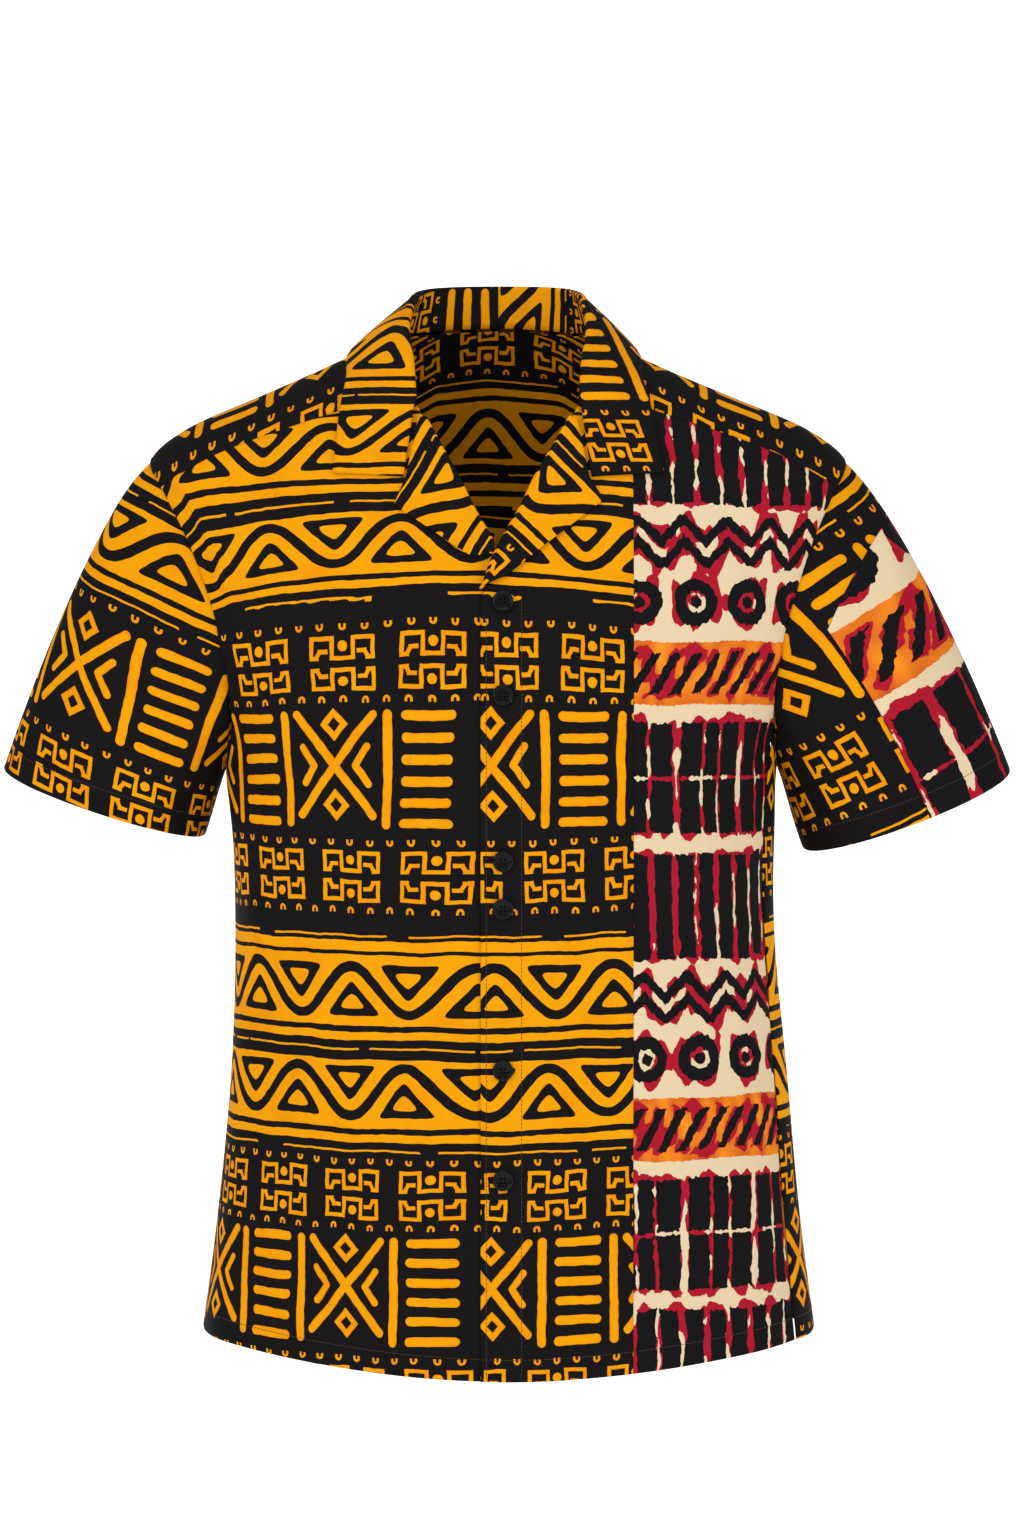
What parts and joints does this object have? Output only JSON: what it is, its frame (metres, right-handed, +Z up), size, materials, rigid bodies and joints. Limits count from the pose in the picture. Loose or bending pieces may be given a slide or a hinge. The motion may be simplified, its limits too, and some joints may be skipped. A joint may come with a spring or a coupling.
{
  "type": "ankara shirt",
  "caption": "Short-sleeved camp-collar shirt in gold and black wax print with a cream, black and crimson contrast panel, in the hollow form of being worn.",
  "frame": {"origin": "middle of the neck opening, level with the neck ends of the shoulders, where the wearer's neck passes through", "axes": "+Z up the wearer's body, +X towards the wearer's left side, front facing -Y"},
  "size_m": [0.7573, 0.2738, 0.8097],
  "materials": {
    "print_cloth": "crisp printed cotton, matt with a faint waxy sheen",
    "contrast_cloth": "crisp printed cotton, matt",
    "button": "polished black"
  },
  "bodies": {
    "root": {"front_right": "print_cloth", "front_left_inner": "print_cloth", "front_left_panel": "contrast_cloth", "front_left_side": "print_cloth", "back": "print_cloth", "yoke": "print_cloth", "collar_right": "print_cloth", "collar_left": "print_cloth", "lapel_right": "print_cloth", "lapel_left": "print_cloth", "sleeve_right": "print_cloth", "sleeve_left": "print_cloth", "sleeve_left_panel": "contrast_cloth", "button_1": "button", "button_2": "button", "button_3": "button", "button_4": "button", "button_5": "button", "button_6": "button"}
  },
  "joints": []
}
